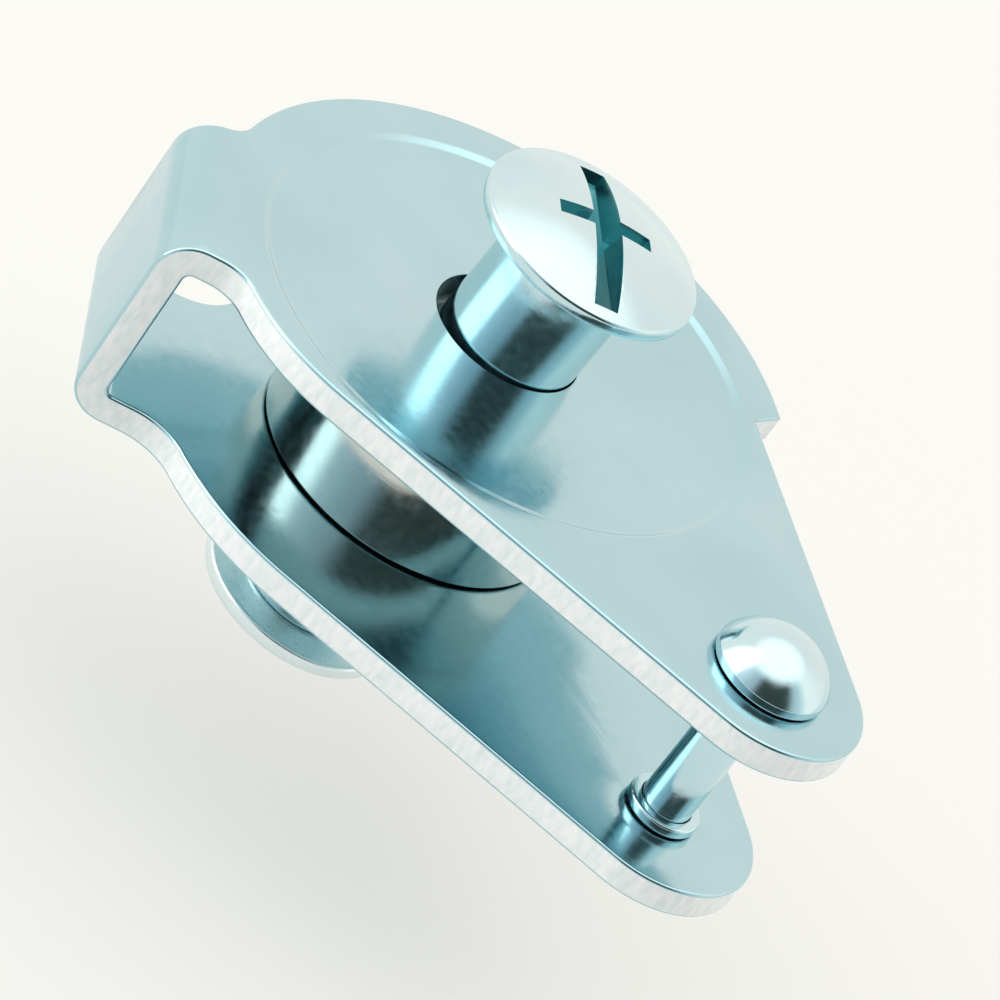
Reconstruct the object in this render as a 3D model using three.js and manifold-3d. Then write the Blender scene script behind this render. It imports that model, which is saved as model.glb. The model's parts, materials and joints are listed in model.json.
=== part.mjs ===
// Roller cleat: a folded steel body, a roller on a screwed axle between its two cheeks, and a riveted pin.
//
// Each piece is drawn about the roller's axis, midway between the cheeks: +Z runs along that axis towards
// the screw's head and +X points from the roller to the pin. The last step moves the whole assembly so
// that the origin is below its middle, level with its lowest point. All sizes are in millimetres.

import * as THREE from 'three';
import { mergeVertices } from 'three/addons/utils/BufferGeometryUtils.js';
import Module from 'manifold-3d';

const wasm = await Module();
wasm.setup();

// ---------------------------------------------------------------- driving dimensions

// Sheet and cheeks: both are teardrops about the roller and the pin
const SHEET = 2.0;
const GAP = 10.0;
const BASE_RADIUS = 17.3;
const AXLE_HOLE = 9.7;

// Top cheek: a wider rim behind the roller, a fuller shoulder in front of it and a pressed round area
const RIM_RADIUS = 19.5;
const NOTCH_X = 8.8;
const SHOULDER = { radius: 14.0, reach: 18.35, fillet: 2.5 };
const RIM_FILLET = 2.5;
const DISH = { radius: 16.7, depth: 0.25, bevel: 0.6 };

// Bottom cheek: a hollow front corner, and a round relief beside the strap at the back
const FRONT_FILLET = 4.0;
const RELIEF = { radius: 4.3, distance: 16.5 };

// Web: the strap that joins the cheeks, square to a line at WEB_ANGLE from +X
const WEB_ANGLE = THREE.MathUtils.degToRad(228);
const WEB_OUTER = 22.0;
const WEB_FRONT = 7.4;
const WEB_BACK = -5.7;
const BEND_INNER = 0.5;

// Pin end
const PIN_X = 27.4;
const END_RADIUS = 6.5;
const PIN_DIAMETER = 3.3;
const PIN_HEAD = { diameter: 7.4, rim: 0.6, height: 2.9 };
const PIN_TAIL = { diameter: 5.4, rim: 0.4, height: 1.3 };
const PIN_COLLAR = { diameter: 4.7, height: 0.7 };

// Roller and its bush
const ROLLER_DIAMETER = 20.0;
const ROLLER_LENGTH = 9.2;
const ROLLER_CHAMFER = 0.35;
const BUSH = { outer: 12.4, inner: 9.6, length: 8.8 };

// Axle: a sleeve clamped between the screw's head and a slotted nut. It leans in its wide holes.
const AXLE_LEAN = new THREE.Vector3(0.049, 0.024, 1).normalize();
const AXLE_FOOT = new THREE.Vector3(0, 0.01, 0);
const AXLE_TOP = 14.7;
const AXLE_BOTTOM = -16.4;
const SLEEVE = { outer: 8.8, inner: 6.8 };
const SCREW_HEAD = { diameter: 14.6, rim: 0.8, height: 2.4 };
const SCREW_THREAD = { diameter: 3.8, tip: -15.5, chamfer: 0.5 };
const NUT_FLANGE = { diameter: 13.4, rim: 1.0, height: 2.2 };
const NUT_BOSS = { diameter: 5.8, length: 8.0, bore: 4.4 };
const RECESS = { depth: 1.7, slotWidth: 1.7, slotLength: 12.8, crossWidth: 1.0, crossLength: 6.8 };
const RECESS_ANGLE = THREE.MathUtils.degToRad(-33);
const NUT_SLOT = { width: 1.4, depth: 1.1 };
const NUT_SLOT_ANGLE = THREE.MathUtils.degToRad(-70);

// Gaps between neighbours, and how far a cutting solid runs past the faces it cuts
const RUNNING_FIT = 0.1;
const TURNED_FIT = 0.3;
const OVERCUT = 1.0;

// Facets
const SMALL_SIDES = 24;
const ROUND_SIDES = 48;
const WIDE_SIDES = 72;
const DOME_STEPS = 6;
const ARC_STEP = THREE.MathUtils.degToRad(5);
const MERGE_DISTANCE = 1e-4;

const INNER_FACE = GAP / 2;
const OUTER_FACE = INNER_FACE + SHEET;
const BEND_OUTER = BEND_INNER + SHEET;

// ---------------------------------------------------------------- materials

function steel(name, color, roughness) {
  const material = new THREE.MeshStandardMaterial({ color, roughness, metalness: 1.0 });
  material.name = name;
  return material;
}

const platedSheet = steel('plated_sheet', 0xbccbcd, 0.28);
const platedRoller = steel('plated_roller', 0xa8b6b6, 0.18);
const platedFastener = steel('plated_fastener', 0xc3d0d2, 0.22);
const nylon = new THREE.MeshStandardMaterial({ color: 0xe6e2d6, roughness: 0.6, metalness: 0.0 });
nylon.name = 'bush_nylon';

// ---------------------------------------------------------------- solids

// A closed three.js geometry as a manifold solid: position only, shared vertices merged, slivers dropped.
function solid(geometry) {
  const bare = geometry.clone();
  bare.deleteAttribute('normal');
  bare.deleteAttribute('uv');
  const merged = mergeVertices(bare, MERGE_DISTANCE);
  const index = merged.index.array;
  const triangles = [];
  for (let i = 0; i < index.length; i += 3) {
    const [a, b, c] = [index[i], index[i + 1], index[i + 2]];
    if (a !== b && b !== c && c !== a) triangles.push(a, b, c);
  }
  return new wasm.Manifold(new wasm.Mesh({
    numProp: 3,
    vertProperties: new Float32Array(merged.attributes.position.array),
    triVerts: new Uint32Array(triangles),
  }));
}

function geometryOf(manifold) {
  const mesh = manifold.getMesh();
  const geometry = new THREE.BufferGeometry();
  geometry.setAttribute('position', new THREE.BufferAttribute(mesh.vertProperties, 3));
  geometry.setIndex(new THREE.BufferAttribute(mesh.triVerts, 1));
  geometry.computeVertexNormals();
  return geometry;
}

function piece(name, manifold, material) {
  const mesh = new THREE.Mesh(geometryOf(manifold), material);
  mesh.name = name;
  return mesh;
}

// A solid of revolution about Z. The profile lists [radius, height] up its outside, from axis to axis.
function turned(profile, sides = ROUND_SIDES) {
  const points = profile.map(([radius, height]) => new THREE.Vector2(radius, height));
  return solid(new THREE.LatheGeometry(points, sides).rotateX(Math.PI / 2));
}

function cylinder(radius, low, high, sides = ROUND_SIDES) {
  return turned([[0, low], [radius, low], [radius, high], [0, high]], sides);
}

// A bar lying across the Z axis, between two heights, its length turned by an angle from +X.
function crossBar(length, width, low, high, angle) {
  const geometry = new THREE.BoxGeometry(length, width, high - low);
  return solid(geometry.rotateZ(angle).translate(0, 0, (low + high) / 2));
}

function halfTurn(manifold) {
  return manifold.rotate([180, 0, 0]);
}

// Heights of a spherical cap of the given base radius and rise, as profile points from rim to crown.
function domeProfile(radius, base, rise) {
  const sphere = (radius * radius + rise * rise) / (2 * rise);
  const halfAngle = Math.asin(radius / sphere);
  const profile = [];
  for (let i = 0; i < DOME_STEPS; i += 1) {
    const angle = halfAngle * (1 - i / DOME_STEPS);
    profile.push([sphere * Math.sin(angle), base + rise - sphere * (1 - Math.cos(angle))]);
  }
  profile.push([0, base + rise]);
  return profile;
}

// A low-domed head whose flat face is at height 0 and whose crown points to +Z.
function domedHead({ diameter, rim, height }) {
  return turned([[0, 0], [diameter / 2, 0], ...domeProfile(diameter / 2, rim, height - rim)]);
}

// ---------------------------------------------------------------- folded body

const WEB_NORMAL = new THREE.Vector2(Math.cos(WEB_ANGLE), Math.sin(WEB_ANGLE));
const WEB_TANGENT = new THREE.Vector2(-WEB_NORMAL.y, WEB_NORMAL.x);

// A point given by its distance along the web's normal and its place across the web.
function webPoint(distance, across) {
  return WEB_NORMAL.clone().multiplyScalar(distance).addScaledVector(WEB_TANGENT, across);
}

function arc(centre, radius, from, to) {
  const steps = Math.max(2, Math.ceil(Math.abs(to - from) / ARC_STEP));
  const points = [];
  for (let i = 0; i <= steps; i += 1) {
    const angle = from + ((to - from) * i) / steps;
    points.push(new THREE.Vector2(
      centre.x + radius * Math.cos(angle),
      centre.y + radius * Math.sin(angle),
    ));
  }
  return points;
}

// The straight edges that join the round end to the pin's end: their normals lie at this angle from +X,
// one each side.
const EDGE_ANGLE = Math.acos((BASE_RADIUS - END_RADIUS) / PIN_X);

const ORIGIN = new THREE.Vector2(0, 0);
const BASE = { centre: ORIGIN, radius: BASE_RADIUS };
const RIM = { centre: ORIGIN, radius: RIM_RADIUS };
const PIN_END = { centre: new THREE.Vector2(PIN_X, 0), radius: END_RADIUS };

// The shoulder's round edge touches the front straight edge and reaches furthest towards -Y.
function shoulderRound() {
  const y = SHOULDER.radius - SHOULDER.reach;
  const x = (BASE_RADIUS - SHOULDER.radius + y * Math.sin(EDGE_ANGLE)) / Math.cos(EDGE_ANGLE);
  return { centre: new THREE.Vector2(x, y), radius: SHOULDER.radius };
}

function roundEdge({ centre, radius }, from, to) {
  return arc(centre, radius, from, to);
}

// The hollow corner between one edge of the web's strap and a round edge. side is +1 for the strap's
// front edge and -1 for its back edge. meets is the angle at which the round edge begins or ends.
function strapFillet(across, round, fillet, side) {
  const centreAcross = across + side * fillet;
  const sideways = centreAcross - round.centre.dot(WEB_TANGENT);
  const outwards = Math.sqrt((round.radius + fillet) ** 2 - sideways ** 2);
  const centre = webPoint(round.centre.dot(WEB_NORMAL) + outwards, centreAcross);
  const towardsStrap = WEB_ANGLE - (side * Math.PI) / 2;
  const swing = Math.PI / 2 - Math.atan2(Math.abs(sideways), outwards);
  const towardsRound = towardsStrap - side * swing;
  return { points: arc(centre, fillet, towardsStrap, towardsRound), meets: towardsRound - Math.PI };
}

// The same angle, less than a turn above a lowest one.
function angleAbove(lowest, angle) {
  const turn = 2 * Math.PI;
  return angle - Math.floor((angle - lowest) / turn) * turn;
}

function strapEnd(across) {
  return webPoint(WEB_OUTER + SHEET, across);
}

// Both outlines run counter-clockwise from the strap's front edge to its back edge.
function topOutline() {
  const shoulder = shoulderRound();
  const front = strapFillet(WEB_FRONT, shoulder, SHOULDER.fillet, 1);
  const back = strapFillet(WEB_BACK, RIM, RIM_FILLET, -1);
  const notchFoot = (BASE_RADIUS - NOTCH_X * Math.cos(EDGE_ANGLE)) / Math.sin(EDGE_ANGLE);
  const frontStart = angleAbove(-Math.PI, front.meets);
  const rimStart = Math.acos(NOTCH_X / RIM_RADIUS);
  return [
    strapEnd(WEB_FRONT),
    ...front.points,
    ...roundEdge(shoulder, frontStart, -EDGE_ANGLE).slice(1),
    ...roundEdge(PIN_END, -EDGE_ANGLE, EDGE_ANGLE),
    new THREE.Vector2(NOTCH_X, notchFoot),
    ...roundEdge(RIM, rimStart, angleAbove(0, back.meets)),
    ...back.points.reverse().slice(1),
    strapEnd(WEB_BACK),
  ];
}

function bottomOutline() {
  const front = strapFillet(WEB_FRONT, BASE, FRONT_FILLET, 1);
  const relief = webPoint(RELIEF.distance, WEB_BACK - RELIEF.radius);
  const reach = relief.length();
  const cosine = (BASE_RADIUS ** 2 + reach ** 2 - RELIEF.radius ** 2) / (2 * BASE_RADIUS * reach);
  const reliefStart = angleAbove(0, relief.angle()) - Math.acos(cosine);
  const corner = new THREE.Vector2(BASE_RADIUS, 0).rotateAround(ORIGIN, reliefStart);
  const towardsStrap = WEB_ANGLE + Math.PI / 2 - 2 * Math.PI;
  return [
    strapEnd(WEB_FRONT),
    ...front.points,
    ...roundEdge(BASE, angleAbove(-Math.PI, front.meets), -EDGE_ANGLE).slice(1),
    ...roundEdge(PIN_END, -EDGE_ANGLE, EDGE_ANGLE),
    ...roundEdge(BASE, EDGE_ANGLE, reliefStart),
    ...arc(relief, RELIEF.radius, corner.clone().sub(relief).angle(), towardsStrap).slice(1),
    strapEnd(WEB_BACK),
  ];
}

function extruded(points, depth) {
  return new THREE.ExtrudeGeometry(new THREE.Shape(points), { depth, bevelEnabled: false, steps: 1 });
}

// The sheet folded into a channel, wide enough for the outline to be cut from it.
function channel() {
  const armEnd = -(PIN_X + END_RADIUS);
  const reach = 2 * (PIN_X + END_RADIUS);
  const web = WEB_OUTER;
  const section = [
    new THREE.Vector2(armEnd, -OUTER_FACE),
    ...arc(new THREE.Vector2(web - BEND_OUTER, -OUTER_FACE + BEND_OUTER), BEND_OUTER, -Math.PI / 2, 0),
    ...arc(new THREE.Vector2(web - BEND_OUTER, OUTER_FACE - BEND_OUTER), BEND_OUTER, 0, Math.PI / 2),
    new THREE.Vector2(armEnd, OUTER_FACE),
    new THREE.Vector2(armEnd, INNER_FACE),
    ...arc(new THREE.Vector2(web - BEND_OUTER, INNER_FACE - BEND_INNER), BEND_INNER, Math.PI / 2, 0),
    ...arc(new THREE.Vector2(web - BEND_OUTER, BEND_INNER - INNER_FACE), BEND_INNER, 0, -Math.PI / 2),
    new THREE.Vector2(armEnd, -INNER_FACE),
  ];
  const along = new THREE.Vector3(WEB_NORMAL.x, WEB_NORMAL.y, 0);
  const up = new THREE.Vector3(0, 0, 1);
  const turn = new THREE.Matrix4().makeBasis(along, up, along.clone().cross(up));
  return solid(extruded(section, reach).translate(0, 0, -reach / 2).applyMatrix4(turn));
}

// The round area pressed into the top cheek's outer face.
function dish() {
  const floor = OUTER_FACE - DISH.depth;
  return turned([
    [0, floor],
    [DISH.radius - DISH.bevel, floor],
    [DISH.radius, OUTER_FACE],
    [DISH.radius, OUTER_FACE + OVERCUT],
    [0, OUTER_FACE + OVERCUT],
  ], WIDE_SIDES);
}

// Each half's outline runs a little past the middle of the web, where both are alike.
function foldedBody() {
  const half = OUTER_FACE + OVERCUT;
  const top = solid(extruded(topOutline(), half + OVERCUT).translate(0, 0, -OVERCUT));
  const bottom = solid(extruded(bottomOutline(), half + OVERCUT).translate(0, 0, -half));
  const axleHole = cylinder(AXLE_HOLE / 2, -half, half);
  const pinHole = cylinder(PIN_DIAMETER / 2 + RUNNING_FIT, -half, half, SMALL_SIDES);
  const body = channel()
    .intersect(top.add(bottom))
    .subtract(dish())
    .subtract(axleHole)
    .subtract(pinHole.translate(PIN_X, 0, 0));
  return piece('folded_body', body, platedSheet);
}

// ---------------------------------------------------------------- roller

function roller() {
  const outer = ROLLER_DIAMETER / 2;
  const half = ROLLER_LENGTH / 2;
  const ring = turned([
    [0, -half],
    [outer - ROLLER_CHAMFER, -half],
    [outer, -half + ROLLER_CHAMFER],
    [outer, half - ROLLER_CHAMFER],
    [outer - ROLLER_CHAMFER, half],
    [0, half],
  ], WIDE_SIDES);
  const bore = cylinder(BUSH.outer / 2 + RUNNING_FIT, -half - OVERCUT, half + OVERCUT);
  return piece('roller', ring.subtract(bore), platedRoller);
}

function rollerBush() {
  const half = BUSH.length / 2;
  const ring = cylinder(BUSH.outer / 2, -half, half);
  const bore = cylinder(BUSH.inner / 2, -half - OVERCUT, half + OVERCUT);
  return piece('roller_bush', ring.subtract(bore), nylon);
}

// ---------------------------------------------------------------- riveted pin

function rivetPin() {
  const seat = OUTER_FACE + RUNNING_FIT;
  const head = domedHead(PIN_HEAD).translate(0, 0, seat);
  const tail = halfTurn(domedHead(PIN_TAIL)).translate(0, 0, -seat);
  const shank = cylinder(PIN_DIAMETER / 2, -seat - PIN_TAIL.rim, seat + PIN_HEAD.rim, SMALL_SIDES);
  const pin = piece('rivet_pin', shank.add(head).add(tail), platedFastener);
  pin.position.x = PIN_X;
  return pin;
}

function pinCollar() {
  const low = -INNER_FACE + RUNNING_FIT;
  const high = low + PIN_COLLAR.height;
  const ring = cylinder(PIN_COLLAR.diameter / 2, low, high, SMALL_SIDES);
  const bore = cylinder(PIN_DIAMETER / 2 + RUNNING_FIT, low - OVERCUT, high + OVERCUT, SMALL_SIDES);
  const collar = piece('pin_collar', ring.subtract(bore), platedFastener);
  collar.position.x = PIN_X;
  return collar;
}

// ---------------------------------------------------------------- axle

function axleSleeve() {
  const low = AXLE_BOTTOM + TURNED_FIT;
  const high = AXLE_TOP - TURNED_FIT;
  const tube = cylinder(SLEEVE.outer / 2, low, high);
  const bore = cylinder(SLEEVE.inner / 2, low - OVERCUT, high + OVERCUT);
  return piece('axle_sleeve', tube.subtract(bore), platedFastener);
}

// Truss head with a cross recess, one arm of which is drawn out into a slot.
function axleScrew() {
  const crown = AXLE_TOP + SCREW_HEAD.height;
  const floor = crown - RECESS.depth;
  const slot = crossBar(RECESS.slotLength, RECESS.slotWidth, floor, crown + OVERCUT, RECESS_ANGLE);
  const cross = crossBar(RECESS.crossWidth, RECESS.crossLength, floor, crown + OVERCUT, RECESS_ANGLE);
  const head = domedHead(SCREW_HEAD).translate(0, 0, AXLE_TOP);
  const thread = SCREW_THREAD.diameter / 2;
  const shank = turned([
    [0, SCREW_THREAD.tip],
    [thread - SCREW_THREAD.chamfer, SCREW_THREAD.tip],
    [thread, SCREW_THREAD.tip + SCREW_THREAD.chamfer],
    [thread, AXLE_TOP + SCREW_HEAD.rim],
    [0, AXLE_TOP + SCREW_HEAD.rim],
  ]);
  return piece('axle_screw', head.subtract(slot).subtract(cross).add(shank), platedFastener);
}

function slottedNut() {
  const flange = halfTurn(domedHead(NUT_FLANGE)).translate(0, 0, AXLE_BOTTOM);
  const bossTop = AXLE_BOTTOM + NUT_BOSS.length;
  const boss = cylinder(NUT_BOSS.diameter / 2, AXLE_BOTTOM - NUT_FLANGE.rim, bossTop);
  const bore = cylinder(NUT_BOSS.bore / 2, AXLE_BOTTOM, bossTop + OVERCUT);
  const crown = AXLE_BOTTOM - NUT_FLANGE.height;
  const slotLength = NUT_FLANGE.diameter + OVERCUT;
  const slot = crossBar(slotLength, NUT_SLOT.width, crown - OVERCUT, crown + NUT_SLOT.depth, NUT_SLOT_ANGLE);
  return piece('slotted_nut', flange.add(boss).subtract(bore).subtract(slot), platedFastener);
}

function axle() {
  const group = new THREE.Group();
  group.position.copy(AXLE_FOOT);
  group.quaternion.setFromUnitVectors(new THREE.Vector3(0, 0, 1), AXLE_LEAN);
  group.add(axleSleeve(), axleScrew(), slottedNut());
  return group;
}

// ---------------------------------------------------------------- assembly

const assembly = new THREE.Group();
assembly.add(foldedBody(), roller(), rollerBush(), rivetPin(), pinCollar(), axle());
assembly.updateMatrixWorld(true);

const bounds = new THREE.Box3().setFromObject(assembly, true);
const middle = bounds.getCenter(new THREE.Vector3());
assembly.position.set(-middle.x, -middle.y, -bounds.min.z);

const cleat = new THREE.Group();
cleat.add(assembly);

export default cleat;
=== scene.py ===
"""Roller cleat: the looks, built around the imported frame.

Every piece is drawn in millimetres about one of two lines: the roller's axis, which the cheeks, the roller
and the pin share, or the leaning axle's own line. +Z runs towards the screw's head in both.
"""

import json  # noqa: E402
import math  # noqa: E402

import bmesh  # noqa: E402
import bpy  # noqa: E402
from mathutils import Matrix, Quaternion, Vector  # noqa: E402
from mathutils.geometry import delaunay_2d_cdt  # noqa: E402

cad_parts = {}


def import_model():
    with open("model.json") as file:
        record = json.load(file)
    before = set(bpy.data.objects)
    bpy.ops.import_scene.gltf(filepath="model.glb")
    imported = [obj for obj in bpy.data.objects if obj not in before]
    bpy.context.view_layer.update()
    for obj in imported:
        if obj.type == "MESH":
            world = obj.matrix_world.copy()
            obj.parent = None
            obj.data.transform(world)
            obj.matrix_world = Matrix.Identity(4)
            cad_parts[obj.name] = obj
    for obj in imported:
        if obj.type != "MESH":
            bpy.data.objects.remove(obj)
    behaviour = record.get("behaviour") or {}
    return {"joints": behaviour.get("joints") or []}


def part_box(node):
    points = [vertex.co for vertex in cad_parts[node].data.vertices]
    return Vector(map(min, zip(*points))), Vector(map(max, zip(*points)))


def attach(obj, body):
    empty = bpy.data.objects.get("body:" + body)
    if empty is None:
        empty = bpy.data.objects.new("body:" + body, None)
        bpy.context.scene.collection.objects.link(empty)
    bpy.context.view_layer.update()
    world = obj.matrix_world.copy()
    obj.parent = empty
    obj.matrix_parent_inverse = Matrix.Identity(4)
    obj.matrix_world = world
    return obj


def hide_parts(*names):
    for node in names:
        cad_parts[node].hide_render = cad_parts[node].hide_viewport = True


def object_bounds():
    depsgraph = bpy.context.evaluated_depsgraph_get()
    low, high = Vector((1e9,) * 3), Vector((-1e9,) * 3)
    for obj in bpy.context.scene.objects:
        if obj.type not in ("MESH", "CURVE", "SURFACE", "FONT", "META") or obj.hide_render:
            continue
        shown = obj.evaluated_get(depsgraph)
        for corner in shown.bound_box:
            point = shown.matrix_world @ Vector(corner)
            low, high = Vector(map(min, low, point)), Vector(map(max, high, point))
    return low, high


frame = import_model()
CAD_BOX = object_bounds()

# ---------------------------------------------------------------- places and sizes, in millimetres

MM = 0.001
UP = Vector((0, 0, 1))


def box_middle(node):
    low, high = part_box(node)
    return (low + high) / 2


def box_size(node):
    low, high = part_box(node)
    return (high - low) / MM


JOINTS = {joint["name"]: joint for joint in frame["joints"]}
ROLLER_PLACE = Matrix.Translation(box_middle("roller"))
AXLE_LINE = Vector(JOINTS["axle_slide"]["axis"]).normalized()
AXLE_FOOT = Vector(JOINTS["screw_turn"]["pos_m"])
AXLE_PLACE = Matrix.Translation(AXLE_FOOT) @ UP.rotation_difference(AXLE_LINE).to_matrix().to_4x4()

# Sheet and cheeks: both are teardrops about the roller and the pin
SHEET = 2.0
OUTER_FACE = box_size("folded_body").z / 2
MID_FACE = OUTER_FACE - SHEET / 2
BASE_RADIUS = 17.3
AXLE_HOLE = 9.7
OUTLINE_ROUND = 0.2
HOLE_ROUND = 0.1

# Top cheek: a wider rim behind the roller, a fuller shoulder in front of it and a pressed round area
RIM_RADIUS = 19.5
RIM_FILLET = 2.5
NOTCH_X = 8.8
SHOULDER_RADIUS = 14.0
SHOULDER_REACH = 18.35
SHOULDER_FILLET = 2.5
DISH_RADIUS = 16.7
DISH_DEPTH = 0.25
DISH_BEVEL = 0.7

# Bottom cheek: a hollow front corner, and a round relief beside the strap at the back
FRONT_FILLET = 4.0
RELIEF_RADIUS = 4.3
RELIEF_DISTANCE = 16.5

# Web
WEB_ANGLE = math.radians(228)
WEB_OUTER = 22.0
WEB_FRONT = 7.4
WEB_BACK = -5.7
BEND_INNER = 0.5

# Pin end
PIN_X = (box_middle("rivet_pin").x - box_middle("roller").x) / MM
END_RADIUS = 6.5
PIN_DIAMETER = 3.3
PIN_CLEARANCE = 0.05
RIVET_SEAT_GAP = 0.1
RIVET_HEAD_RADIUS = 3.7
RIVET_HEAD_RIM = 0.6
RIVET_TAIL_RADIUS = 2.7
RIVET_TAIL_FOOT = 2.2
RIVET_TAIL_RIM = 0.4
PIN_PLACE = ROLLER_PLACE @ Matrix.Translation((PIN_X * MM, 0, 0))

# Roller
ROLLER_RADIUS = box_size("roller").x / 2
ROLLER_END_FILL = 0.25
ROLLER_HALF = box_size("roller").z / 2 + ROLLER_END_FILL
BUSH_OUTER = box_size("roller_bush").x / 2
BUSH_HALF = box_size("roller_bush").z / 2
BUSH_INNER = 4.8
BUSH_CLEARANCE = 0.1

# Axle, measured along its own line
END_GAP = 0.02
AXLE_TOP = 14.6
AXLE_BOTTOM = -16.4
HEAD_RADIUS = 7.3
HEAD_RIM = 0.8
HEAD_HEIGHT = 2.3
SLEEVE_OUTER = 4.4
SLEEVE_INNER = 3.4
THREAD_MAJOR = 2.0
THREAD_MINOR = 1.6
THREAD_PITCH = 0.7
THREAD_TIP = -15.5
FLANGE_RADIUS = 6.7
FLANGE_RIM = 1.0
FLANGE_HEIGHT = 2.2
BOSS_RADIUS = 2.9
BOSS_LENGTH = 8.0
BOSS_BORE = 2.2

# Screw's recess: a slot moved towards the rim, crossed by a narrower one
RECESS_ANGLE = math.radians(-33)
RECESS_DEPTH = 1.7
RECESS_TAPER = 0.12
SLOT_LENGTH = 12.0
SLOT_WIDTH = 1.5
SLOT_SHIFT = 0.45
CROSS_LENGTH = 6.0
CROSS_WIDTH = 0.8

# Nut's slot
NUT_SLOT_ANGLE = math.radians(-70)
NUT_SLOT_LENGTH = 13.0
NUT_SLOT_WIDTH = 1.4
NUT_SLOT_DEPTH = 1.1

# How far a cutter stands past the surface that it cuts
CUT_MARGIN = 0.5

SMOOTH_ANGLE = math.radians(32)
BODY_SMOOTH_ANGLE = math.radians(60)
BREAK_WIDTH = 0.06
BREAK_ANGLE = math.radians(40)

# ---------------------------------------------------------------- mesh helpers


def make_object(name, vertices, faces, place):
    """An object whose mesh is given in millimetres about its own place."""
    mesh = bpy.data.meshes.new(name)
    mesh.from_pydata([Vector(v) * MM for v in vertices], [], faces)
    mesh.update()
    piece = bpy.data.objects.new(name, mesh)
    piece.matrix_world = place
    bpy.context.scene.collection.objects.link(piece)
    return piece


def shade(piece, angle=SMOOTH_ANGLE):
    piece.data.shade_smooth()
    piece.data.set_sharp_from_angle(angle=angle)


def finish_piece(piece, materials, body, node):
    """Gives a piece its materials and says which CAD body and node it stands for."""
    for material in materials:
        piece.data.materials.append(material)
    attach(piece, body)
    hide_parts(node)


def rounded_corner(before, corner, after, radius, steps=5):
    """Points of the arc that rounds one corner of a path."""
    back = (before - corner).normalized()
    ahead = (after - corner).normalized()
    half = back.angle(ahead) / 2
    reach = radius / math.tan(half)
    centre = corner + (back + ahead).normalized() * (radius / math.sin(half))
    start = corner + back * reach - centre
    end = corner + ahead * reach - centre
    sweep = start.angle_signed(end)
    return [centre + Matrix.Rotation(-sweep * i / steps, 2) @ start for i in range(steps + 1)]


def profile(*corners):
    """A path of points from corners given as (radius, height) or (radius, height, rounding)."""
    points = [Vector(c[:2]) for c in corners]
    path = []
    for i, corner in enumerate(corners):
        if len(corner) == 3:
            path += rounded_corner(points[i - 1], points[i], points[(i + 1) % len(points)], corner[2])
        else:
            path.append(points[i])
    return path


def dome(radius, base, rise, steps=20):
    """Corners up a spherical cap from its rim to just short of its crown, then the crown."""
    sphere = (radius * radius + rise * rise) / (2 * rise)
    half_angle = math.asin(radius / sphere)
    points = []
    for i in range(1, steps):
        angle = half_angle * (1 - i / steps)
        points.append((sphere * math.sin(angle), base + rise - sphere * (1 - math.cos(angle))))
    return points + [(0, base + rise)]


def turned(name, path, place, sides=128, closed=False):
    """A solid of revolution. An open path runs from axis to axis, and a closed one makes a ring."""
    vertices = []
    rows = []
    for point in path:
        if point.x < 1e-6:
            rows.append([len(vertices)] * sides)
            vertices.append((0, 0, point.y))
            continue
        rows.append(list(range(len(vertices), len(vertices) + sides)))
        for k in range(sides):
            angle = 2 * math.pi * k / sides
            vertices.append((point.x * math.cos(angle), point.x * math.sin(angle), point.y))
    faces = []
    pairs = list(zip(rows, rows[1:] + ([rows[0]] if closed else [])))
    for lower, upper in pairs:
        for k in range(sides):
            n = (k + 1) % sides
            ring = [lower[k], lower[n], upper[n], upper[k]]
            faces.append(list(dict.fromkeys(ring)))
    return make_object(name, vertices, [f for f in faces if len(f) > 2], place)


def cut(piece, cutter, material):
    """Cuts one closed mesh out of another, giving the new walls a material, and removes the cutter."""
    cutter.data.materials.append(material)
    modifier = piece.modifiers.new("cut", "BOOLEAN")
    modifier.material_mode = "TRANSFER"
    modifier.operation = "DIFFERENCE"
    modifier.solver = "EXACT"
    modifier.object = cutter
    apply_modifiers(piece)
    bpy.data.objects.remove(cutter)


def apply_modifiers(piece):
    bpy.context.view_layer.update()
    evaluated = piece.evaluated_get(bpy.context.evaluated_depsgraph_get())
    mesh = bpy.data.meshes.new_from_object(evaluated)
    piece.modifiers.clear()
    piece.data = mesh


def tapered_bar(length, width, floor, top, taper, angle, place, shift=0.0):
    """A bar across the Z axis, moved along itself by shift, whose floor is smaller than its top."""
    corners = []
    for height, grow in ((floor, 0.0), (top, taper * (top - floor))):
        for sx, sy in ((-1, -1), (1, -1), (1, 1), (-1, 1)):
            corners.append(Vector((shift + sx * (length / 2 + grow), sy * (width / 2 + grow), height)))
    turn = Matrix.Rotation(angle, 3, "Z")
    faces = [(3, 2, 1, 0), (4, 5, 6, 7), (0, 1, 5, 4), (1, 2, 6, 5), (2, 3, 7, 6), (3, 0, 4, 7)]
    return make_object("cutter", [turn @ c for c in corners], faces, place)


def break_edges(piece):
    """Takes the sharpness off the edges of a cut piece."""
    modifier = piece.modifiers.new("soften", "BEVEL")
    modifier.width = BREAK_WIDTH * MM
    modifier.segments = 2
    modifier.limit_method = "ANGLE"
    modifier.angle_limit = BREAK_ANGLE
    modifier.harden_normals = False
    apply_modifiers(piece)


# ---------------------------------------------------------------- folded body

WEB_NORMAL = Vector((math.cos(WEB_ANGLE), math.sin(WEB_ANGLE)))
WEB_TANGENT = Vector((-WEB_NORMAL.y, WEB_NORMAL.x))
BEND_MID = BEND_INNER + SHEET / 2
BEND_START = WEB_OUTER - BEND_INNER - SHEET
BEND_LENGTH = BEND_MID * math.pi / 2
WEB_HALF = OUTER_FACE - BEND_INNER - SHEET
BLANK_MID = BEND_START + BEND_LENGTH + WEB_HALF
MIDDLE = Vector((0, 0))
PIN_MIDDLE = Vector((PIN_X, 0))
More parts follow.
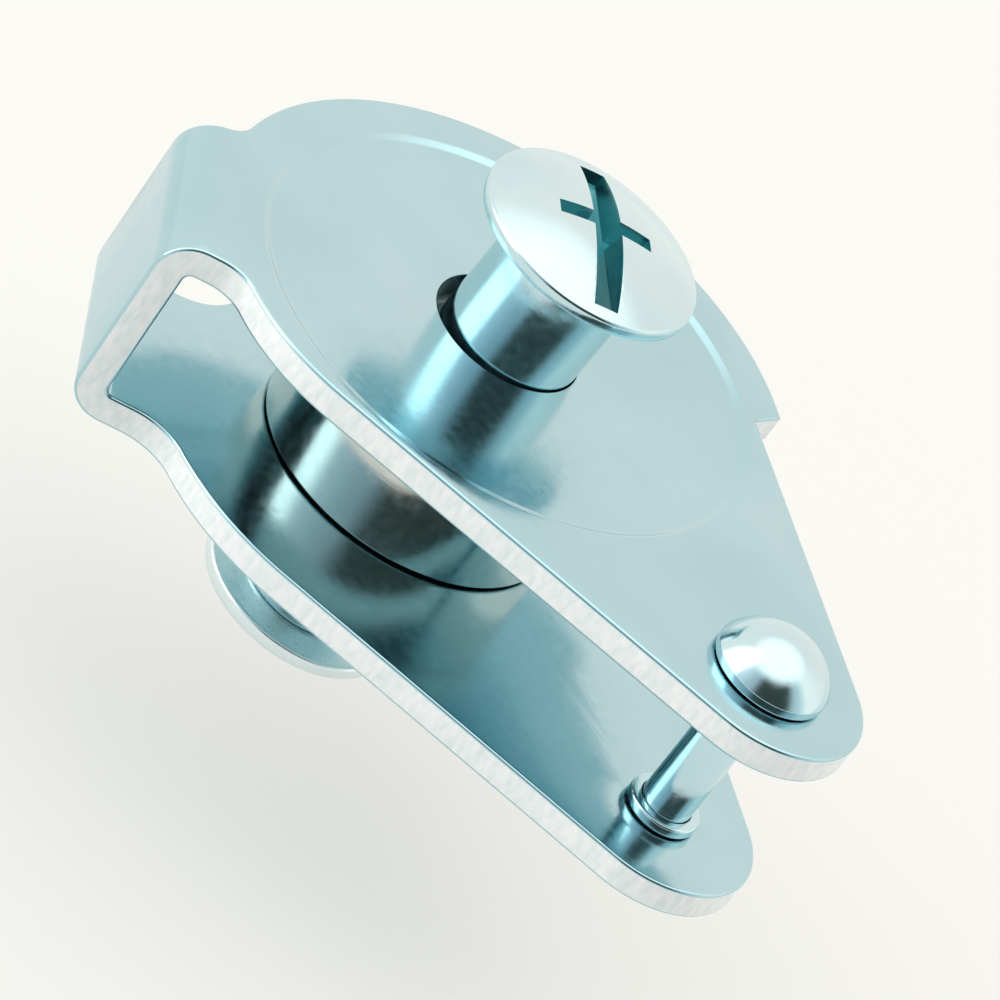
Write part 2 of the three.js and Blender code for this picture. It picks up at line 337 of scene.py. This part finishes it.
# The straight edges from the round end to the pin's end have their normals at this angle from +X
EDGE_ANGLE = math.acos((BASE_RADIUS - END_RADIUS) / PIN_X)

STEP = 0.45
ROUND_LOOPS = 4
BEND_ROWS = 24
BEND_STEP = BEND_LENGTH / BEND_ROWS


def arc(centre, radius, start, end, spacing=STEP):
    steps = max(4, math.ceil(abs(end - start) * radius / spacing))
    angles = [start + (end - start) * i / steps for i in range(steps + 1)]
    return [centre + radius * Vector((math.cos(a), math.sin(a))) for a in angles]


def straight(start, end, spacing=STEP):
    """Points from start to just short of end."""
    steps = max(1, math.ceil((end - start).length / spacing))
    return [start.lerp(end, i / steps) for i in range(steps)]


def web_point(distance, across):
    return WEB_NORMAL * distance + WEB_TANGENT * across


def strap_fillet(across, middle, radius, fillet, side):
    """The hollow corner between one edge of the strap and a round edge, and where it meets that edge.

    side is 1 for the strap's front edge and -1 for its back edge.
    """
    centre_across = across + side * fillet
    sideways = centre_across - middle.dot(WEB_TANGENT)
    outwards = math.sqrt((radius + fillet) ** 2 - sideways**2)
    towards_strap = WEB_ANGLE - side * math.pi / 2
    swing = math.pi / 2 - math.atan2(abs(sideways), outwards)
    towards_round = towards_strap - side * swing
    centre = web_point(middle.dot(WEB_NORMAL) + outwards, centre_across)
    corner = arc(centre, fillet, towards_strap, towards_round, BEND_STEP)
    return corner, (towards_round - math.pi) % math.tau


def top_cheek():
    """The top cheek's edge on the flat blank, anticlockwise from the strap's front edge to its back edge."""
    shoulder_y = SHOULDER_RADIUS - SHOULDER_REACH
    shoulder_x = (BASE_RADIUS - SHOULDER_RADIUS + shoulder_y * math.sin(EDGE_ANGLE)) / math.cos(EDGE_ANGLE)
    shoulder_middle = Vector((shoulder_x, shoulder_y))
    front, front_meets = strap_fillet(WEB_FRONT, shoulder_middle, SHOULDER_RADIUS, SHOULDER_FILLET, 1)
    back, back_meets = strap_fillet(WEB_BACK, MIDDLE, RIM_RADIUS, RIM_FILLET, -1)
    rim_start = math.acos(NOTCH_X / RIM_RADIUS)
    notch_foot = Vector((NOTCH_X, (BASE_RADIUS - NOTCH_X * math.cos(EDGE_ANGLE)) / math.sin(EDGE_ANGLE)))
    notch_top = Vector((NOTCH_X, RIM_RADIUS * math.sin(rim_start)))
    shoulder = arc(shoulder_middle, SHOULDER_RADIUS, front_meets - math.tau, -EDGE_ANGLE)
    end = arc(PIN_MIDDLE, END_RADIUS, -EDGE_ANGLE, EDGE_ANGLE)
    back.reverse()
    return [
        *straight(web_point(BLANK_MID, WEB_FRONT), front[0], BEND_STEP),
        *front,
        *shoulder[1:-1],
        *straight(shoulder[-1], end[0]),
        *end[:-1],
        *straight(end[-1], notch_foot),
        *straight(notch_foot, notch_top),
        *arc(MIDDLE, RIM_RADIUS, rim_start, back_meets),
        *back[1:],
        *straight(back[-1], web_point(BLANK_MID, WEB_BACK), BEND_STEP)[1:],
        web_point(BLANK_MID, WEB_BACK),
    ]


def bottom_cheek():
    """The bottom cheek's edge, drawn like the top cheek's before it is mirrored across the blank."""
    front, front_meets = strap_fillet(WEB_FRONT, MIDDLE, BASE_RADIUS, FRONT_FILLET, 1)
    relief_middle = web_point(RELIEF_DISTANCE, WEB_BACK - RELIEF_RADIUS)
    reach = relief_middle.length
    half_angle = math.acos((BASE_RADIUS**2 + reach**2 - RELIEF_RADIUS**2) / (2 * BASE_RADIUS * reach))
    relief_start = math.atan2(relief_middle.y, relief_middle.x) % math.tau - half_angle
    corner = BASE_RADIUS * Vector((math.cos(relief_start), math.sin(relief_start)))
    from_corner = math.atan2(corner.y - relief_middle.y, corner.x - relief_middle.x)
    base = arc(MIDDLE, BASE_RADIUS, front_meets - math.tau, -EDGE_ANGLE)
    end = arc(PIN_MIDDLE, END_RADIUS, -EDGE_ANGLE, EDGE_ANGLE)
    round_back = arc(MIDDLE, BASE_RADIUS, EDGE_ANGLE, relief_start)
    relief = arc(relief_middle, RELIEF_RADIUS, from_corner, WEB_ANGLE + math.pi / 2 - math.tau)
    return [
        *straight(web_point(BLANK_MID, WEB_FRONT), front[0], BEND_STEP),
        *front,
        *base[1:-1],
        *straight(base[-1], end[0]),
        *end[:-1],
        *straight(end[-1], round_back[0]),
        *round_back,
        *relief[1:],
        *straight(relief[-1], web_point(BLANK_MID, WEB_BACK), BEND_STEP)[1:],
        web_point(BLANK_MID, WEB_BACK),
    ]


def mirrored(point):
    """The same point of the other cheek, across the blank's middle line."""
    distance = point.dot(WEB_NORMAL)
    return point + WEB_NORMAL * 2 * (BLANK_MID - distance)


def inset(loop, distance):
    """A closed loop moved to its own left."""
    moved = []
    for i, point in enumerate(loop):
        ahead = (loop[(i + 1) % len(loop)] - point).normalized()
        behind = (point - loop[i - 1]).normalized()
        normal = Vector((-behind.y, behind.x))
        mitre = (normal + Vector((-ahead.y, ahead.x))).normalized()
        moved.append(point + mitre * (distance / mitre.dot(normal)))
    return moved


def dish_share(radius):
    """How far down the pressed area's soft step a radius lies, from 0 outside it to 1 inside."""
    share = min(1.0, max(0.0, (DISH_RADIUS - radius) / DISH_BEVEL))
    return share * share * (3 - 2 * share)


def folded(point, height):
    """Where a point of the flat blank goes once folded, height being measured outwards from mid-sheet."""
    distance = point.dot(WEB_NORMAL)
    across = point.dot(WEB_TANGENT)
    side = 1 if distance <= BLANK_MID else -1
    if side < 0:
        distance = 2 * BLANK_MID - distance
    if distance <= BEND_START:
        pressed = DISH_DEPTH * dish_share(math.hypot(distance, across)) if side > 0 and height > 0 else 0
        out, z = distance, MID_FACE + height - pressed
    elif distance <= BEND_START + BEND_LENGTH:
        angle = (distance - BEND_START) / BEND_MID
        out = BEND_START + (BEND_MID + height) * math.sin(angle)
        z = WEB_HALF + (BEND_MID + height) * math.cos(angle)
    else:
        out = BEND_START + BEND_MID + height
        z = BLANK_MID - distance
    place = web_point(out, across)
    return Vector((place.x, place.y, side * z))


def blank_loops():
    """The blank's edges with their rounding: the outline anticlockwise, then the holes clockwise."""
    outline = top_cheek()[:-1] + [mirrored(p) for p in reversed(bottom_cheek())][:-1]
    axle_hole = arc(MIDDLE, AXLE_HOLE / 2, math.tau, 0, 0.3)[:-1]
    pin_hole = arc(PIN_MIDDLE, PIN_DIAMETER / 2 + PIN_CLEARANCE, math.tau, 0, 0.25)[:-1]
    holes = [axle_hole, pin_hole]
    holes += [[mirrored(p) for p in reversed(hole)] for hole in (axle_hole, pin_hole)]
    return [(outline, OUTLINE_ROUND)] + [(hole, HOLE_ROUND) for hole in holes]


def dish_rings():
    """Rings across the pressed step, which give it its soft section."""
    rings = []
    for i in range(-1, 10):
        radius = DISH_RADIUS - DISH_BEVEL * i / 8
        rings.append(arc(MIDDLE, radius, 0, math.tau, 0.7)[:-1])
    return rings


def bend_rows():
    """Lines across the strap, close together where the sheet bends."""
    rows = []
    inset_edge = OUTLINE_ROUND * 1.02
    for row in range(-1, BEND_ROWS + 2):
        distance = BEND_START + BEND_LENGTH * row / BEND_ROWS
        start = web_point(distance, WEB_BACK + inset_edge)
        end = web_point(distance, WEB_FRONT - inset_edge)
        line = [start.lerp(end, i / 12) for i in range(13)]
        rows += [line, [mirrored(p) for p in line]]
    return rows


def triangulate():
    """The flat blank as triangles, with how far each point drops below the face, and the rim's steps."""
    points, drops, edges, rim_edges = [], [], [], []

    def add(path, drop, closed):
        first = len(points)
        points.extend(path)
        drops.extend([drop] * len(path))
        joined = [(first + i, first + i + 1) for i in range(len(path) - 1)]
        if closed:
            joined.append((first + len(path) - 1, first))
        edges.extend(joined)
        return joined

    for edge, rounding in blank_loops():
        rim_edges += add(edge, rounding, True)
        for k in range(1, ROUND_LOOPS + 1):
            turn = math.pi / 2 * k / ROUND_LOOPS
            add(inset(edge, rounding * (1 - math.cos(turn))), rounding * (1 - math.sin(turn)), True)
    for ring in dish_rings():
        add(ring, 0.0, True)
    for row in bend_rows():
        add(row, 0.0, False)

    flat, _, faces, source, _, _ = delaunay_2d_cdt(points, edges, [], 0, 1e-6)
    place_of = {old: new for new, olds in enumerate(source) for old in olds}
    drop_of = [max((drops[old] for old in olds), default=0.0) for olds in source]
    rim = {frozenset((place_of[a], place_of[b])) for a, b in rim_edges}
    rim_steps = [(place_of[a], place_of[b]) for a, b in rim_edges]
    return flat, drop_of, sheet_faces(flat, faces, rim, place_of[len(points) - 1]), rim_steps


def sheet_faces(flat, faces, rim, inside):
    """The faces reached from a point inside the sheet without crossing its rim, all anticlockwise."""
    by_edge = {}
    for index, face in enumerate(faces):
        for i, a in enumerate(face):
            by_edge.setdefault(frozenset((a, face[i - 1])), []).append(index)
    start = next(i for i, face in enumerate(faces) if inside in face)
    reached = {start}
    waiting = [start]
    while waiting:
        face = faces[waiting.pop()]
        for i, a in enumerate(face):
            edge = frozenset((a, face[i - 1]))
            if edge in rim:
                continue
            for neighbour in by_edge[edge]:
                if neighbour not in reached:
                    reached.add(neighbour)
                    waiting.append(neighbour)
    kept = []
    for index in sorted(reached):
        a, b, c = faces[index]
        area = (flat[b] - flat[a]).cross(flat[c] - flat[a])
        kept.append((a, b, c) if area > 0 else (a, c, b))
    return kept


def folded_body(face_material, edge_and_highlight_material):
    flat, drops, faces, rim_steps = triangulate()
    count = len(flat)
    heights = [SHEET / 2 - drop for drop in drops]
    vertices = [folded(p, h) for p, h in zip(flat, heights)]
    vertices += [folded(p, -h) for p, h in zip(flat, heights)]
    outside = list(faces)
    inside = [(c + count, b + count, a + count) for a, b, c in faces]
    walls = [(b, a, a + count, b + count) for a, b in rim_steps]
    body = make_object("folded_body_sheet", vertices, outside + inside + walls, ROLLER_PLACE)
    outline_steps = len(blank_loops()[0][0])
    # The outline's walls take the pale edge material, which is partly painted highlight
    for face in body.data.polygons[len(outside) + len(inside):][:outline_steps]:
        face.material_index = 1
    clean = bmesh.new()
    clean.from_mesh(body.data)
    loose = [v for v in clean.verts if not v.link_faces]
    bmesh.ops.delete(clean, geom=loose, context="VERTS")
    bmesh.ops.recalc_face_normals(clean, faces=clean.faces)
    clean.to_mesh(body.data)
    clean.free()
    shade(body, BODY_SMOOTH_ANGLE)
    finish_piece(body, [face_material, edge_and_highlight_material], "frame", "folded_body")


# ---------------------------------------------------------------- roller and pin


def roller(material):
    path = profile(
        (BUSH_OUTER + BUSH_CLEARANCE, -ROLLER_HALF, 0.2),
        (ROLLER_RADIUS, -ROLLER_HALF, 0.15),
        (ROLLER_RADIUS, ROLLER_HALF, 0.15),
        (BUSH_OUTER + BUSH_CLEARANCE, ROLLER_HALF, 0.2),
    )
    piece = turned("roller_barrel", path, ROLLER_PLACE, closed=True)
    shade(piece)
    finish_piece(piece, [material], "roller", "roller")


def bush(material):
    path = profile(
        (BUSH_INNER, -BUSH_HALF, 0.2),
        (BUSH_OUTER, -BUSH_HALF, 0.2),
        (BUSH_OUTER, BUSH_HALF, 0.2),
        (BUSH_INNER, BUSH_HALF, 0.2),
    )
    piece = turned("roller_bush_ring", path, ROLLER_PLACE, closed=True)
    shade(piece)
    finish_piece(piece, [material], "roller", "roller_bush")


def rivet_pin(material):
    head_top = box_size("rivet_pin").z
    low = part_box("rivet_pin")[0].z / MM - ROLLER_PLACE.translation.z / MM
    head_seat = OUTER_FACE + RIVET_SEAT_GAP
    head_rim = head_seat + RIVET_HEAD_RIM
    tail_rim = -head_seat - RIVET_TAIL_RIM
    radius = PIN_DIAMETER / 2
    crown = low + head_top
    tail = [Vector(p) for p in dome(RIVET_TAIL_RADIUS, 0, tail_rim - low)]
    head = dome(RIVET_HEAD_RADIUS, head_rim, crown - head_rim)
    path = [Vector((p.x, tail_rim - p.y)) for p in reversed(tail)]
    path += profile(
        (RIVET_TAIL_FOOT, -head_rim),
        (RIVET_TAIL_RADIUS, tail_rim, 0.12),
        (RIVET_TAIL_RADIUS, -head_seat, 0.1),
        (radius, -head_seat, 0.1),
        (radius, head_seat, 0.1),
        (RIVET_HEAD_RADIUS, head_seat, 0.15),
        (RIVET_HEAD_RADIUS, head_rim, 0.2),
        head[0],
    )[1:-1]
    path += [Vector(p) for p in head]
    piece = turned("rivet_pin_turned", path, PIN_PLACE, sides=96)
    shade(piece)
    finish_piece(piece, [material], "frame", "rivet_pin")


def pin_collar(material):
    low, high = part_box("pin_collar")
    base = (low.z - ROLLER_PLACE.translation.z) / MM
    top = (high.z - ROLLER_PLACE.translation.z) / MM
    outer = box_size("pin_collar").x / 2
    inner = PIN_DIAMETER / 2 + PIN_CLEARANCE
    path = profile((inner, base, 0.08), (outer, base, 0.12), (outer, top, 0.2), (inner, top, 0.08))
    piece = turned("pin_collar_ring", path, PIN_PLACE, sides=64, closed=True)
    shade(piece)
    finish_piece(piece, [material], "frame", "pin_collar")


# ---------------------------------------------------------------- axle


def sleeve(material):
    low = AXLE_BOTTOM + END_GAP
    high = AXLE_TOP - END_GAP
    path = profile(
        (SLEEVE_INNER, low, 0.15),
        (SLEEVE_OUTER, low, 0.25),
        (SLEEVE_OUTER, high, 0.25),
        (SLEEVE_INNER, high, 0.15),
    )
    piece = turned("axle_sleeve_tube", path, AXLE_PLACE, closed=True)
    shade(piece)
    finish_piece(piece, [material], "axle", "axle_sleeve")


def threaded_rod(name, low, high, place, sides=48, rows_a_turn=12):
    """A rod whose surface rises and falls with a right-hand helix, closed at both ends."""
    rows = math.ceil((high - low) / THREAD_PITCH * rows_a_turn)
    vertices = []
    for row in range(rows + 1):
        z = low + (high - low) * row / rows
        fade = min(1.0, (z - low) / THREAD_PITCH, (high - z) / THREAD_PITCH)
        for k in range(sides):
            phase = (z / THREAD_PITCH - k / sides) % 1.0
            ridge = 1 - abs(2 * phase - 1)
            radius = THREAD_MINOR + (THREAD_MAJOR - THREAD_MINOR) * ridge * fade
            angle = math.tau * k / sides
            vertices.append((radius * math.cos(angle), radius * math.sin(angle), z))
    faces = [list(reversed(range(sides)))]
    for row in range(rows):
        for k in range(sides):
            a = row * sides + k
            b = row * sides + (k + 1) % sides
            faces.append((a, b, b + sides, a + sides))
    faces.append(list(range(rows * sides, (rows + 1) * sides)))
    return make_object(name, vertices, faces, place)


def screw(material, recess_shade_material):
    rim_top = AXLE_TOP + HEAD_RIM
    crown_rise = HEAD_HEIGHT - HEAD_RIM
    cap = dome(HEAD_RADIUS, rim_top, crown_rise, steps=28)
    path = [Vector((0, AXLE_TOP))]
    path += profile(
        (1.0, AXLE_TOP),
        (HEAD_RADIUS, AXLE_TOP, 0.15),
        (HEAD_RADIUS, rim_top, 0.3),
        cap[0],
    )[1:-1]
    path += [Vector(p) for p in cap]
    head = turned("axle_screw_head", path, AXLE_PLACE, sides=160)
    head.data.materials.append(material)
    crown = AXLE_TOP + HEAD_HEIGHT
    for length, width, shift in ((SLOT_LENGTH, SLOT_WIDTH, SLOT_SHIFT), (CROSS_WIDTH, CROSS_LENGTH, 0.0)):
        heights = (crown - RECESS_DEPTH, crown + CUT_MARGIN)
        cutter = tapered_bar(length, width, *heights, RECESS_TAPER, RECESS_ANGLE, AXLE_PLACE, shift)
        # The recess walls take the dark recess material, which is painted shade
        cut(head, cutter, recess_shade_material)
    break_edges(head)
    shade(head)
    rod = threaded_rod("axle_screw_thread", THREAD_TIP, AXLE_TOP - END_GAP, AXLE_PLACE)
    rod.data.shade_smooth()
    finish_piece(rod, [material], "screw", "axle_screw")
    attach(head, "screw")
    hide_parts("axle_screw")


def nut(material, recess_shade_material):
    seat = AXLE_BOTTOM
    cap = dome(FLANGE_RADIUS, 0, FLANGE_HEIGHT - FLANGE_RIM, steps=24)
    path = [Vector((r, seat - FLANGE_RIM - h)) for r, h in reversed(cap)]
    boss_top = seat + BOSS_LENGTH
    path += profile(
        (cap[0][0], seat - FLANGE_RIM - cap[0][1]),
        (FLANGE_RADIUS, seat - FLANGE_RIM, 0.35),
        (FLANGE_RADIUS, seat, 0.25),
        (BOSS_RADIUS, seat, 0.2),
        (BOSS_RADIUS, boss_top, 0.3),
        (BOSS_BORE, boss_top, 0.2),
        (BOSS_BORE, seat),
        (0, seat),
    )[1:]
    piece = turned("slotted_nut_flange", path, AXLE_PLACE)
    piece.data.materials.append(material)
    crown = seat - FLANGE_HEIGHT
    heights = (crown - CUT_MARGIN, crown + NUT_SLOT_DEPTH)
    cutter = tapered_bar(NUT_SLOT_LENGTH, NUT_SLOT_WIDTH, *heights, 0, NUT_SLOT_ANGLE, AXLE_PLACE)
    # The slot's walls take the dark recess material, which is painted shade
    cut(piece, cutter, recess_shade_material)
    break_edges(piece)
    shade(piece)
    finish_piece(piece, [], "nut", "slotted_nut")


# ---------------------------------------------------------------- materials


def node(tree, kind, inputs=None, **settings):
    made = tree.nodes.new(kind)
    for key, value in settings.items():
        setattr(made, key, value)
    for key, value in (inputs or {}).items():
        if isinstance(value, bpy.types.NodeSocket):
            tree.links.new(value, made.inputs[key])
        else:
            made.inputs[key].default_value = value
    return made


def blank_material(name):
    material = bpy.data.materials.new(name)
    material.use_nodes = True
    tree = material.node_tree
    tree.nodes.clear()
    shader = node(tree, "ShaderNodeBsdfPrincipled")
    node(tree, "ShaderNodeOutputMaterial", {"Surface": shader.outputs[0]})
    return material, tree, shader


def noise(tree, vector, scale, detail=3.0):
    made = node(tree, "ShaderNodeTexNoise", {"Vector": vector, "Scale": scale, "Detail": detail})
    return made.outputs["Fac"]


def remap(tree, value, low, high, start=0.3, end=0.7, kind="LINEAR"):
    """A value that runs from low to high while the input runs from start to end."""
    sockets = {"Value": value, "From Min": start, "From Max": end, "To Min": low, "To Max": high}
    return node(tree, "ShaderNodeMapRange", sockets, interpolation_type=kind).outputs["Result"]


def mix_colour(tree, factor, first, second):
    made = node(tree, "ShaderNodeMix", data_type="RGBA")
    tree.links.new(factor, made.inputs["Factor"])
    made.inputs[6].default_value = first
    made.inputs[7].default_value = second
    return made.outputs[2]


def stretched(tree, vector, stretch, turn=0.0):
    made = node(tree, "ShaderNodeMapping", {"Vector": vector, "Scale": stretch, "Rotation": (0, 0, turn)})
    return made.outputs["Vector"]


RELIEF_DEPTH = 0.00001


def plated_steel(name, light, deep, roughness, grain, grain_turn=0.0):
    """Bright zinc plate with a faint blue-green cast, cloudy at large scale and grained at small scale."""
    material, tree, shader = blank_material(name)
    place = node(tree, "ShaderNodeTexCoord").outputs["Object"]
    clouds = noise(tree, place, 90.0, 4.0)
    rolled = noise(tree, stretched(tree, place, grain, grain_turn), 1.0, 5.0)
    spangle = noise(tree, place, 1500.0, 2.0)
    tree.links.new(mix_colour(tree, remap(tree, clouds, 0.0, 1.0), light, deep), shader.inputs["Base Color"])
    shader.inputs["Metallic"].default_value = 1.0
    mottled = remap(tree, spangle, roughness - 0.03, roughness + 0.05)
    tree.links.new(mottled, shader.inputs["Roughness"])
    relief = node(tree, "ShaderNodeBump", {"Height": rolled, "Strength": 0.25, "Distance": RELIEF_DEPTH})
    sparkle = node(tree, "ShaderNodeBump", {
        "Height": noise(tree, place, 5200.0, 1.0),
        "Strength": 0.12,
        "Distance": RELIEF_DEPTH,
        "Normal": relief.outputs["Normal"],
    })
    tree.links.new(sparkle.outputs["Normal"], shader.inputs["Normal"])
    return material


def sheared_edge_and_highlight():
    """The sheet's cut edge: rough and broken, so that it scatters light, and pale, its near-white colour
    being partly the bare cut metal and partly painted highlight.
    """
    material, tree, shader = blank_material("sheared_edge_and_highlight")
    place = node(tree, "ShaderNodeTexCoord").outputs["Object"]
    broken = noise(tree, stretched(tree, place, (2600, 2600, 900)), 1.0, 4.0)
    # Near-white shades: partly the cut metal's own paleness, partly painted highlight
    pale_metal_and_highlight = mix_colour(tree, remap(tree, broken, 0.0, 1.0), (0.80, 0.88, 0.89, 1), (1.0, 1.0, 1.0, 1))
    tree.links.new(pale_metal_and_highlight, shader.inputs["Base Color"])
    shader.inputs["Metallic"].default_value = 0.1
    shader.inputs["Roughness"].default_value = 0.5
    relief = node(tree, "ShaderNodeBump", {"Height": broken, "Strength": 0.6, "Distance": 0.00004})
    tree.links.new(relief.outputs["Normal"], shader.inputs["Normal"])
    return material


# ---------------------------------------------------------------- stage, light and camera

CAMERA_LENS = 215.9
CAMERA_DISTANCE = 0.3586
CAMERA_AZIMUTH = math.radians(29.52)
CAMERA_ELEVATION = math.radians(32.35)
CAMERA_ROLL = math.radians(36.73)
CAMERA_AIM = box_middle("roller") + Vector((5.48, 1.57, -2.14)) * MM


def camera():
    data = bpy.data.cameras.new("camera")
    data.lens = CAMERA_LENS
    data.clip_end = 10
    made = bpy.data.objects.new("camera", data)
    bpy.context.scene.collection.objects.link(made)
    away = Vector((
        math.sin(CAMERA_AZIMUTH) * math.cos(CAMERA_ELEVATION),
        -math.cos(CAMERA_AZIMUTH) * math.cos(CAMERA_ELEVATION),
        math.sin(CAMERA_ELEVATION),
    ))
    made.location = CAMERA_AIM + away * CAMERA_DISTANCE
    made.rotation_mode = "QUATERNION"
    made.rotation_quaternion = (-away).to_track_quat("-Z", "Y") @ Quaternion((0, 0, 1), CAMERA_ROLL)
    bpy.context.scene.camera = made


# The floor lies below the nut at the axle's lowest position. Both are in metres.
FLOOR_DROP = 0.008
FLOOR_HALF = 3.0


def floor():
    material, tree, shader = blank_material("pale_floor")
    place = node(tree, "ShaderNodeTexCoord").outputs["Object"]
    soft = noise(tree, place, 6.0, 2.0)
    paper = mix_colour(tree, soft, (0.38, 0.38, 0.37, 1), (0.40, 0.40, 0.39, 1))
    tree.links.new(paper, shader.inputs["Base Color"])
    shader.inputs["Roughness"].default_value = 0.9
    shader.inputs["Emission Color"].default_value = (1.0, 0.995, 0.96, 1)
    shader.inputs["Emission Strength"].default_value = 0.46
    mesh = bpy.data.meshes.new("floor")
    corners = [(x * FLOOR_HALF, y * FLOOR_HALF, 0) for x, y in ((-1, -1), (1, -1), (1, 1), (-1, 1))]
    mesh.from_pydata(corners, [], [(0, 1, 2, 3)])
    mesh.materials.append(material)
    made = bpy.data.objects.new("floor", mesh)
    made.location.z = CAD_BOX[0].z - FLOOR_DROP
    bpy.context.scene.collection.objects.link(made)


# The room at eye height, as degrees of azimuth round the object and the colour of the wall there
WALLS = [
    (-180, (1.15, 1.03, 0.96)),
    (-68, (1.10, 1.04, 0.98)),
    (-58, (2.7, 2.7, 2.6)),
    (-26, (2.6, 2.6, 2.5)),
    (-14, (0.86, 0.95, 1.00)),
    (12, (0.52, 0.62, 0.68)),
    (32, (0.05, 0.068, 0.062)),
    (84, (0.05, 0.068, 0.062)),
    (106, (0.66, 0.78, 0.80)),
    (130, (1.32, 1.24, 1.14)),
    (180, (1.15, 1.03, 0.96)),
]
CEILING = (1.66, 1.64, 1.58)
CEILING_START = math.sin(math.radians(44))
CEILING_FULL = math.sin(math.radians(68))
BRIGHTEST = 4.0


def world():
    """A studio whose walls change with azimuth, under a white ceiling."""
    made = bpy.data.worlds.new("studio")
    made.use_nodes = True
    tree = made.node_tree
    direction = node(tree, "ShaderNodeTexCoord").outputs["Generated"]
    parts = node(tree, "ShaderNodeSeparateXYZ", {"Vector": direction}).outputs
    behind = node(tree, "ShaderNodeMath", {0: parts["Y"], 1: -1.0}, operation="MULTIPLY").outputs[0]
    azimuth = node(tree, "ShaderNodeMath", {0: parts["X"], 1: behind}, operation="ARCTAN2").outputs[0]
    walls = node(tree, "ShaderNodeValToRGB", {"Fac": remap(tree, azimuth, 0, 1, -math.pi, math.pi)})
    stops = walls.color_ramp.elements
    while len(stops) < len(WALLS):
        stops.new(0.5)
    for stop, (degrees, colour) in zip(stops, WALLS):
        stop.position = degrees / 360 + 0.5
        stop.color = (*[c / BRIGHTEST for c in colour], 1)
    walls.color_ramp.interpolation = "EASE"
    ceiling = remap(tree, parts["Z"], 0, 1, CEILING_START, CEILING_FULL, "SMOOTHSTEP")
    mixed = node(tree, "ShaderNodeMix", data_type="RGBA")
    tree.links.new(ceiling, mixed.inputs["Factor"])
    tree.links.new(walls.outputs["Color"], mixed.inputs[6])
    mixed.inputs[7].default_value = (*[c / BRIGHTEST for c in CEILING], 1)
    background = tree.nodes["Background"]
    tree.links.new(mixed.outputs[2], background.inputs["Color"])
    background.inputs["Strength"].default_value = BRIGHTEST
    bpy.context.scene.world = made


# ---------------------------------------------------------------- build

# Each plating's grain is how finely it varies along X, Y and Z
ROLLED_GRAIN = (300, 4000, 1500)
TURNED_GRAIN = (400, 400, 5000)
FINE_GRAIN = (900, 900, 3000)

SHEET_STEEL = plated_steel(
    "plated_sheet", (0.45, 0.655, 0.71, 1), (0.395, 0.61, 0.67, 1), 0.16, ROLLED_GRAIN, WEB_ANGLE
)
EDGE_STEEL_AND_HIGHLIGHT = sheared_edge_and_highlight()
ROLLER_STEEL = plated_steel("plated_roller", (0.66, 0.69, 0.66, 1), (0.58, 0.61, 0.58, 1), 0.14, TURNED_GRAIN)
FASTENER_STEEL = plated_steel(
    "plated_fastener", (0.60, 0.78, 0.82, 1), (0.50, 0.70, 0.76, 1), 0.13, FINE_GRAIN
)
# Dark teal for the cut walls of the screw's recess and the nut's slot: painted shade in the hollows, not the
# plating's own colour
RECESS_SHADE_STEEL = plated_steel("plated_recess_painted_shade", (0.14, 0.42, 0.46, 1), (0.06, 0.24, 0.28, 1), 0.22, FINE_GRAIN)
NUT_STEEL = plated_steel("plated_nut", (0.84, 0.92, 0.93, 1), (0.74, 0.85, 0.86, 1), 0.28, FINE_GRAIN)


def nylon():
    material, tree, shader = blank_material("bush_nylon")
    place = node(tree, "ShaderNodeTexCoord").outputs["Object"]
    milky = mix_colour(tree, noise(tree, place, 300.0), (0.80, 0.78, 0.70, 1), (0.86, 0.85, 0.79, 1))
    tree.links.new(milky, shader.inputs["Base Color"])
    tree.links.new(remap(tree, noise(tree, place, 900.0), 0.45, 0.6), shader.inputs["Roughness"])
    shader.inputs["Subsurface Weight"].default_value = 0.1
    return material


folded_body(SHEET_STEEL, EDGE_STEEL_AND_HIGHLIGHT)
roller(ROLLER_STEEL)
bush(nylon())
rivet_pin(FASTENER_STEEL)
pin_collar(FASTENER_STEEL)
sleeve(FASTENER_STEEL)
screw(FASTENER_STEEL, RECESS_SHADE_STEEL)
nut(NUT_STEEL, RECESS_SHADE_STEEL)

camera()
floor()
world()

view = bpy.context.scene.view_settings
view.view_transform = "Standard"
